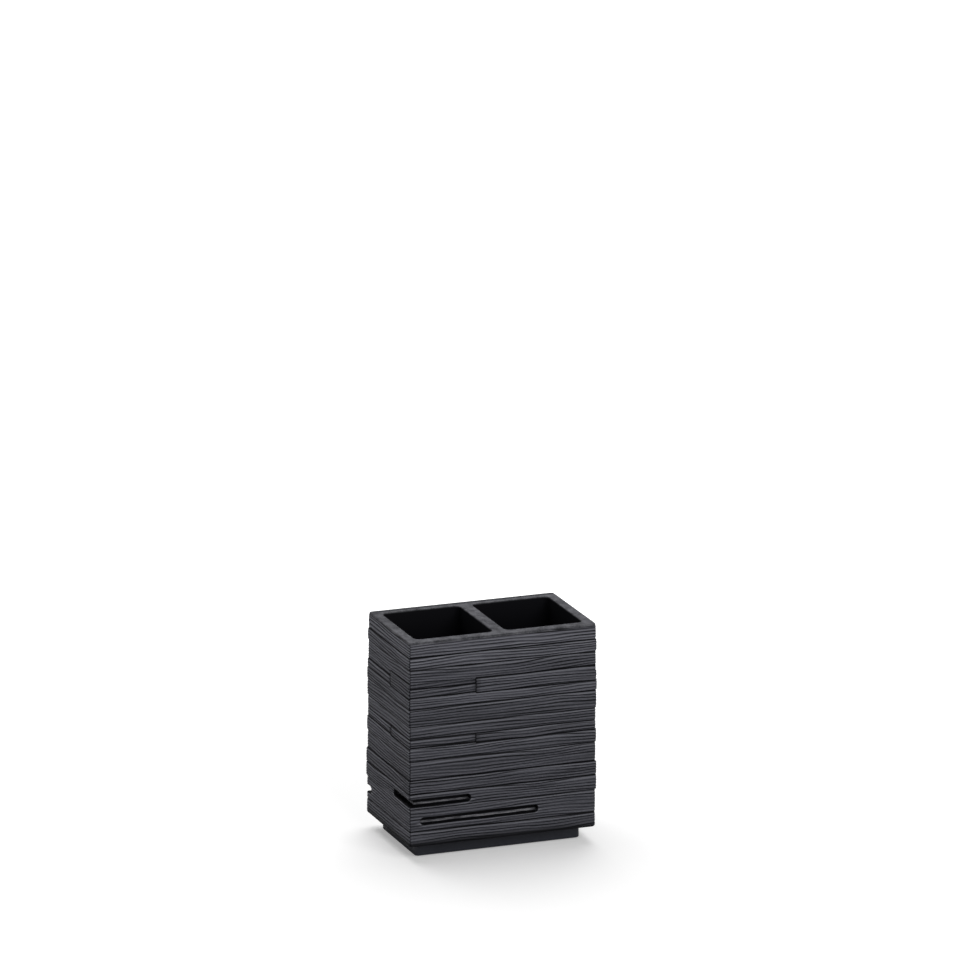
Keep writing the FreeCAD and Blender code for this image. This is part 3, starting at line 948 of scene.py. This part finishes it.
    @staticmethod
    def filled(wanted: set[float], low: float, high: float, spacing: float) -> list[float]:
        """Sort places between two ends, drop near doubles and divide the wide gaps.

        Args:
            wanted: Places that are kept where they are.
            low: The lower end.
            high: The upper end.
            spacing: The widest gap that is left.

        Returns:
            The places, in order.
        """
        kept = [low]
        for place in sorted(wanted):
            if place < high and min(place - kept[-1], high - place) > LEAST_GAP:
                kept.append(place)
        kept.append(high)
        places = []
        for start, end in zip(kept, kept[1:]):
            parts = max(1, math.ceil((end - start) / spacing - 0.01))
            places += [start + (end - start) * part / parts for part in range(parts)]
        return places + [high]


@dataclass
class SlatSleeve:
    """The slatted outer shell."""

    node: str = "slat_sleeve"
    core_wall: float = 2.6
    web: float = 4.0
    window_half_width: float = 35.2
    window_half_depth: float = 16.825
    row_spacing: float = 0.31
    column_spacing: float = 2.6
    corner_reach: float = 5.0
    crease: float = 80.0
    finish: SlatFinish = SlatFinish()

    def __post_init__(self) -> None:
        """Take the sleeve's place from its solid and lay out the slats on its core."""
        self.low, self.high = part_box(self.node)
        proud = Relief.PROUD.value
        self.pattern = SlatPattern(self.high.x / MM - proud)
        self.middle = self.low.y + (proud + self.pattern.half_depth) * MM

    def build(self) -> bpy.types.Object:
        """Model the sleeve: score a block, line it and carve it."""
        half = Vector((self.pattern.half_width, self.pattern.half_depth, 0.0)) * MM
        low = Vector((-half.x, self.middle - half.y, self.low.z))
        high = Vector((half.x, self.middle + half.y, self.high.z))
        piece = Bench.block("slat_sleeve_carved", low, high)
        with Bench.edit(piece):
            Bench.pick(piece, Pick.FACES, lambda side: abs(side.normal.z) > FACING)
            bpy.ops.mesh.delete(type="ONLY_FACE")
            self._score(piece)
            self._line(piece)
        self._carve(piece)
        Bench.smooth(piece, self.crease)
        return piece

    def _score(self, piece: bpy.types.Object) -> None:
        """Cut the four faces into rows and columns."""
        for up in self.pattern.levels(self.row_spacing)[1:-1]:
            bpy.ops.mesh.select_all(action="SELECT")
            bpy.ops.mesh.bisect(plane_co=(0.0, 0.0, self.low.z + up * MM), plane_no=(0.0, 0.0, 1.0))
        for face in Face:
            Bench.pick(piece, Pick.FACES, lambda side: side.normal.dot(face.outward) < FACING)
            bpy.ops.mesh.hide(unselected=False)
            for across in self.pattern.columns(face, self.column_spacing)[1:-1]:
                bpy.ops.mesh.select_all(action="SELECT")
                place = Vector((0.0, self.middle, 0.0)) + face.rightward * across * MM
                bpy.ops.mesh.bisect(plane_co=place, plane_no=face.rightward)
            bpy.ops.mesh.reveal(select=False)

    def _line(self, piece: bpy.types.Object) -> None:
        """Turn the open tube into a wall with a floor web and a window in it."""
        pattern = self.pattern
        cavity_width = pattern.half_width - self.core_wall
        cavity_depth = pattern.half_depth - self.core_wall
        Bench.pick(piece, Pick.EDGES, flat_at(self.high.z))
        Bench.extrude()
        Bench.spread(
            cavity_width / pattern.half_width, cavity_depth / pattern.half_depth, self.middle
        )
        Bench.extrude((0.0, 0.0, self.low.z + self.web * MM - self.high.z))
        Bench.extrude()
        Bench.spread(
            self.window_half_width / cavity_width,
            self.window_half_depth / cavity_depth,
            self.middle,
        )
        bpy.ops.transform.translate(value=(0.0, -self.middle, 0.0))
        Bench.extrude((0.0, 0.0, -self.web * MM))
        Bench.pick(piece, Pick.EDGES, lambda edge: edge.is_boundary)
        bpy.ops.mesh.bridge_edge_loops()
        bpy.ops.mesh.select_all(action="SELECT")
        bpy.ops.mesh.normals_make_consistent(inside=False)

    def _faces_at(self, point: Vector) -> list[Face]:
        """The faces of the core that a point in millimetres lies on."""
        limits = {
            Face.FRONT: point.y + self.pattern.half_depth,
            Face.RIGHT: self.pattern.half_width - point.x,
            Face.BACK: self.pattern.half_depth - point.y,
            Face.LEFT: point.x + self.pattern.half_width,
        }
        return [face for face, gap in limits.items() if gap < ON_FACE]

    def _carve(self, piece: bpy.types.Object) -> None:
        """Move every point of the outer faces to its stand-off and mark it for the finish."""
        pattern = self.pattern
        names = ("line", "furrow", "arris_highlight", "hollow_and_shade", "slot", "tone", "slat")
        marks = {name: [0.0] * len(piece.data.vertices) for name in names}
        underside = Vector((0.0, self.middle, self.low.z)) / MM
        for vertex in piece.data.vertices:
            point = vertex.co / MM - underside
            faces = self._faces_at(point)
            if not faces:
                marks["hollow_and_shade"][vertex.index] = 1.0
                continue
            moved = point.copy()
            for face in faces:
                across = point.dot(face.rightward)
                mark = pattern.mark(face, across, point.z)
                moved += face.outward * mark.stand_off
                for name in names:
                    marks[name][vertex.index] = getattr(mark, name)
                if len(faces) == 1:
                    shift = self._corner_shift(face, across, point.z, mark.stand_off)
                    moved += face.rightward * shift
            moved.y += pattern.lean(point)
            moved.z += pattern.drift(point)
            vertex.co = (moved + underside) * MM
        for name in names:
            attribute = piece.data.attributes.new(name, "FLOAT", "POINT")
            attribute.data.foreach_set("value", marks[name])
        piece.data.update()

    def _corner_shift(self, face: Face, across: float, up: float, stand_off: float) -> float:
        """How far a point near a corner is moved along its face.

        A slat reaches out over the corner of the core, and a slot that turns the corner draws
        the faces beside it back.

        Args:
            face: The face that the point is on.
            across: Its place across the face, in millimetres.
            up: Its height above the sleeve's underside, in millimetres.
            stand_off: How far it stands off the core, in millimetres.

        Returns:
            The shift to the right, in millimetres.
        """
        end = 1 if across > 0.0 else -1
        gap = self.pattern.half_length(face) - abs(across)
        if gap >= self.corner_reach:
            return 0.0
        share = 1.0 - gap / self.corner_reach
        beside = face.beside(end)
        sunk = self.pattern.mark(beside, -end * self.pattern.half_length(beside), up).stand_off
        reach = max(stand_off, 0.0) * self.pattern.corner_overhang
        return end * share * (reach + min(sunk + self.pattern.corner_notch, 0.0))

    def dress(self, piece: bpy.types.Object) -> None:
        """Give the sleeve its finish and put it in place of its solid."""
        piece.data.materials.append(self.finish.material())
        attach(piece, "root")
        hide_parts(self.node)


@dataclass
class WellLiner:
    """The twin-well insert with the flat rim."""

    node: str = "well_liner"
    flange: float = 1.2
    tub_half_width: float = 42.8
    tub_half_depth: float = 24.35
    tub_round: float = 1.5
    rim_round: float = 0.45
    divider: float = 6.0
    end_wall: float = 1.3
    long_wall: float = 1.5
    floor: float = 2.0
    well_round: float = 3.0
    well_floor_round: float = 2.0
    mouth_round: float = 0.5
    mouth_angle: float = 1.0
    overrun: float = 2.0
    finish: LinerFinish = LinerFinish()

    def __post_init__(self) -> None:
        """Take the liner's place from its solid."""
        self.low, self.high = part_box(self.node)
        self.middle = (self.low.y + self.high.y) / 2

    def build(self) -> bpy.types.Object:
        """Model the liner: a tub with a flange on top and two wells sunk in it."""
        half = Vector((self.tub_half_width, self.tub_half_depth, 0.0)) * MM
        shelf = self.high.z - self.flange * MM
        piece = Bench.block(
            "well_liner_smooth",
            Vector((-half.x, self.middle - half.y, self.low.z)),
            Vector((half.x, self.middle + half.y, shelf)),
        )
        with Bench.edit(piece):
            Bench.pick(piece, Pick.EDGES, upright)
            Bench.bevel(self.tub_round * MM, segments=5)
            Bench.pick(piece, Pick.FACES, lambda side: side.normal.z > FACING)
            Bench.extrude()
            rim_half_depth = self.high.y - self.middle
            Bench.spread(self.high.x / half.x, rim_half_depth / half.y, self.middle)
            Bench.extrude((0.0, 0.0, self.flange * MM))
            Bench.pick(piece, Pick.EDGES, flat_at(self.high.z))
            Bench.bevel(self.rim_round * MM, segments=5)
        for side in (-1, 1):
            Bench.cut(piece, self._well_core(side))
        with Bench.edit(piece):
            Bench.pick(piece, Pick.EDGES, self._at_mouth)
            Bench.bevel(self.mouth_round * MM, segments=4)
        Bench.smooth(piece, CREASE)
        return piece

    def _well_core(self, side: int) -> bpy.types.Object:
        """The shape of the room inside the left (-1) or the right (1) well."""
        near = self.divider / 2 * MM
        far = (self.tub_half_width - self.end_wall) * MM
        depth = (self.tub_half_depth - self.long_wall) * MM
        floor = self.low.z + self.floor * MM
        ends = sorted((side * near, side * far))
        core = Bench.block(
            "well_core",
            Vector((ends[0], self.middle - depth, floor)),
            Vector((ends[1], self.middle + depth, self.high.z + self.overrun * MM)),
        )
        with Bench.edit(core):
            Bench.pick(core, Pick.EDGES, upright)
            Bench.bevel(self.well_round * MM, segments=8)
            Bench.pick(core, Pick.EDGES, flat_at(floor))
            Bench.bevel(self.well_floor_round * MM, segments=5)
        return core

    def _at_mouth(self, edge: bmesh.types.BMEdge) -> bool:
        """Whether an edge is part of a well's mouth."""
        if not flat_at(self.high.z)(edge) or edge.calc_face_angle(0.0) < self.mouth_angle:
            return False
        return max(abs(corner.co.x) for corner in edge.verts) < self.tub_half_width * MM

    def dress(self, piece: bpy.types.Object) -> None:
        """Give the liner its finish and put it in place of its solid."""
        piece.data.materials.append(self.finish.material(self.high, self.middle))
        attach(piece, "root")
        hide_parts(self.node)


@dataclass
class Plinth:
    """The recessed plinth with its spigot and the recesses for the feet."""

    node: str = "plinth_base"
    half_width: float = 41.05
    half_depth: float = 22.675
    height: float = 6.5
    corner_round: float = 2.0
    foot_round: float = 0.6
    spigot_inset: float = 6.0
    foot_recess: float = 1.0
    foot_clearance: float = 0.15
    finish: MattFinish = BLACK_RESIN

    def __post_init__(self) -> None:
        """Take the plinth's place from its solid."""
        self.low, self.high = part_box(self.node)

    def build(self, feet: Sequence[str]) -> bpy.types.Object:
        """Model the plinth.

        Args:
            feet: The nodes of the feet that are let into it.

        Returns:
            The piece.
        """
        half = Vector((self.half_width, self.half_depth, 0.0)) * MM
        top = self.low.z + self.height * MM
        piece = Bench.block(
            "plinth_smooth", Vector((-half.x, -half.y, self.low.z)), Vector((half.x, half.y, top))
        )
        with Bench.edit(piece):
            Bench.pick(piece, Pick.EDGES, upright)
            Bench.bevel(self.corner_round * MM, segments=8)
            Bench.pick(piece, Pick.EDGES, flat_at(self.low.z))
            Bench.bevel(self.foot_round * MM, segments=4)
            Bench.pick(piece, Pick.FACES, lambda side: side.normal.z > FACING)
            Bench.extrude()
            Bench.spread(
                1.0 - self.spigot_inset / self.half_width, 1.0 - self.spigot_inset / self.half_depth
            )
            Bench.extrude((0.0, 0.0, self.high.z - top))
        for node in feet:
            Bench.cut(piece, self._recess(node))
        Bench.smooth(piece, CREASE)
        return piece

    def _recess(self, foot: str) -> bpy.types.Object:
        """The room for one foot in the plinth's underside."""
        low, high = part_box(foot)
        room = Vector((1.0, 1.0, 0.0)) * self.foot_clearance * MM
        floor = self.low.z + self.foot_recess * MM
        return Bench.disc(
            "foot_room", low - room, Vector((high.x + room.x, high.y + room.y, floor)), sides=48
        )

    def dress(self, piece: bpy.types.Object) -> None:
        """Give the plinth its finish and put it in place of its solid."""
        piece.data.materials.append(self.finish.material())
        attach(piece, "root")
        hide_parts(self.node)


@dataclass
class Feet:
    """The four rubber discs under the plinth."""

    nodes: tuple[str, ...] = (
        "foot_front_left", "foot_front_right", "foot_rear_left", "foot_rear_right",
    )
    sides: int = 64
    edge_round: float = 0.4
    ring_inset: float = 1.1
    ring_width: float = 0.8
    ring_depth: float = 0.25
    finish: MattFinish = RUBBER

    def build(self) -> list[bpy.types.Object]:
        """Model one foot with a moulded ring in its sole and copy it to the other corners."""
        low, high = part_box(self.nodes[0])
        first = Bench.disc(f"{self.nodes[0]}_rubber", low, high, self.sides)
        with Bench.edit(first):
            Bench.pick(first, Pick.EDGES, flat_at(low.z))
            Bench.bevel(self.edge_round * MM, segments=4)
            Bench.pick(first, Pick.FACES, lambda side: side.normal.z < -STRAIGHT)
            bpy.ops.mesh.inset(thickness=self.ring_inset * MM)
            bpy.ops.mesh.inset(thickness=self.ring_width * MM)
            ring = (high.x - low.x) / 2 - (self.edge_round + self.ring_inset) * MM
            centre = (low + high) / 2
            Bench.pick(first, Pick.FACES, lambda side: self._in_ring(side, centre, ring))
            Bench.extrude((0.0, 0.0, self.ring_depth * MM))
        Bench.smooth(first, CREASE)
        pieces = [first]
        for node in self.nodes[1:]:
            copy = first.copy()
            copy.data = first.data.copy()
            copy.name = copy.data.name = f"{node}_rubber"
            bpy.context.scene.collection.objects.link(copy)
            Bench.take(copy)
            bpy.ops.transform.translate(value=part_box(node)[0] - low)
            bpy.ops.object.transform_apply(location=True, rotation=False, scale=False)
            pieces.append(copy)
        return pieces

    def _in_ring(self, side: bmesh.types.BMFace, centre: Vector, ring: float) -> bool:
        """Whether a face of the sole belongs to its moulded ring."""
        if side.normal.z > -STRAIGHT or len(side.verts) > 4:
            return False
        middle = side.calc_center_median() - centre
        return math.hypot(middle.x, middle.y) < ring

    def dress(self, pieces: Sequence[bpy.types.Object]) -> None:
        """Give the feet their finish and put them in place of their solids."""
        material = self.finish.material()
        for node, piece in zip(self.nodes, pieces):
            piece.data.materials.append(material)
            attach(piece, "root")
            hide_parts(node)


@dataclass(frozen=True)
class Softbox:
    """A square area light aimed at the middle of the holder."""

    name: str
    place: Point
    size: float
    power: float


@dataclass
class Studio:
    """White floor, soft light and the camera."""

    aim: Point = (0.0, 0.0, 0.05)
    eye: Point = (-1.249016, -3.289856, 1.145793)
    gaze: Point = (0.3419241, 0.9010838, -0.2667132)
    roll: float = 0.0969
    lens: float = 295.9
    sensor: float = 36.0
    clip: Span = (0.1, 50.0)
    ambient: float = 0.17
    floor_half: float = 6.0
    floor_colour: Colour = (0.80, 0.80, 0.80)
    near_lift: float = 0.33
    far_lift: float = 1.0
    near: float = 0.16
    far: float = 0.60
    lights: tuple[Softbox, ...] = (
        Softbox("overhead_softbox", (0.09, 0.62, 1.35), 1.4, 20.0),
        Softbox("front_softbox", (0.60, -2.5, 1.75), 1.6, 34.0),
    )

    def build(self) -> None:
        """Set up the floor, the world, the lights and the camera."""
        self._lay_floor()
        self._light_world()
        for light in self.lights:
            self._hang(light)
        self._place_camera()
        bpy.context.scene.view_settings.view_transform = "Standard"

    def _lay_floor(self) -> None:
        """A white floor that keeps the holder's shadow."""
        Bench.clear()
        bpy.ops.mesh.primitive_plane_add(size=2.0 * self.floor_half)
        floor = Bench.settle("studio_floor")
        board = Board("white_floor")
        seen = board.add("ShaderNodeLightPath", output="Is Camera Ray")
        board.dress(Base_Color=self.floor_colour, Roughness=0.9, Specular_IOR_Level=0.0)
        place = board.place()
        away = board.add("ShaderNodeVectorMath", {"operation": "LENGTH"}, {0: place}, "Value")
        rise = self.far_lift - self.near_lift
        lift = self.near_lift + board.between(self.near, self.far, away) * rise
        glow = board.add("ShaderNodeEmission", None, {"Strength": seen * lift})
        base = Socket(board, board.shader.outputs[0])
        both = board.add("ShaderNodeAddShader", None, {0: base, 1: glow})
        board.feed(board.tree.nodes["Material Output"].inputs["Surface"], both)
        floor.data.materials.append(board.owner)

    def _light_world(self) -> None:
        """An even white surround that looks pure white to the camera."""
        board = Board("white_surround", world=True)
        seen = board.add("ShaderNodeLightPath", output="Is Camera Ray")
        strength = self.ambient + seen * (1.0 - self.ambient)
        bpy.context.scene.world = board.dress(Color=(1.0, 1.0, 1.0), Strength=strength)

    def _hang(self, light: Softbox) -> None:
        """Hang one softbox and turn it to the holder."""
        Bench.clear()
        bpy.ops.object.light_add(type="AREA", location=light.place)
        lamp = bpy.context.object
        lamp.name = light.name
        lamp.data.size = light.size
        lamp.data.energy = light.power
        aim = Vector(self.aim) - Vector(light.place)
        lamp.rotation_euler = aim.to_track_quat("-Z", "Y").to_euler()

    def _place_camera(self) -> None:
        """The camera at the photograph's viewing angle."""
        Bench.clear()
        bpy.ops.object.camera_add(location=self.eye)
        camera = bpy.context.object
        camera.name = "studio_camera"
        turn = Vector(self.gaze).to_track_quat("-Z", "Y")
        roll = Quaternion((0.0, 0.0, 1.0), math.radians(self.roll))
        camera.rotation_euler = (turn @ roll).to_euler()
        camera.data.lens = self.lens
        camera.data.sensor_width = self.sensor
        camera.data.clip_start, camera.data.clip_end = self.clip
        bpy.context.scene.camera = camera


def main() -> None:
    """Build every sub-assembly in order and report each piece."""
    logging.basicConfig(level=logging.INFO, format="%(name)s: %(message)s")
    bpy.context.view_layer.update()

    sleeve = SlatSleeve()
    sleeve_piece = sleeve.build()
    sleeve.dress(sleeve_piece)
    liner = WellLiner()
    liner_piece = liner.build()
    liner.dress(liner_piece)
    feet = Feet()
    feet_pieces = feet.build()
    feet.dress(feet_pieces)
    plinth = Plinth()
    plinth_piece = plinth.build(feet.nodes)
    plinth.dress(plinth_piece)
    for piece in (sleeve_piece, liner_piece, plinth_piece, *feet_pieces):
        LOG.info("%s: %d faces", piece.name, len(piece.data.polygons))

    Studio().build()


if __name__ == "__main__":
    main()
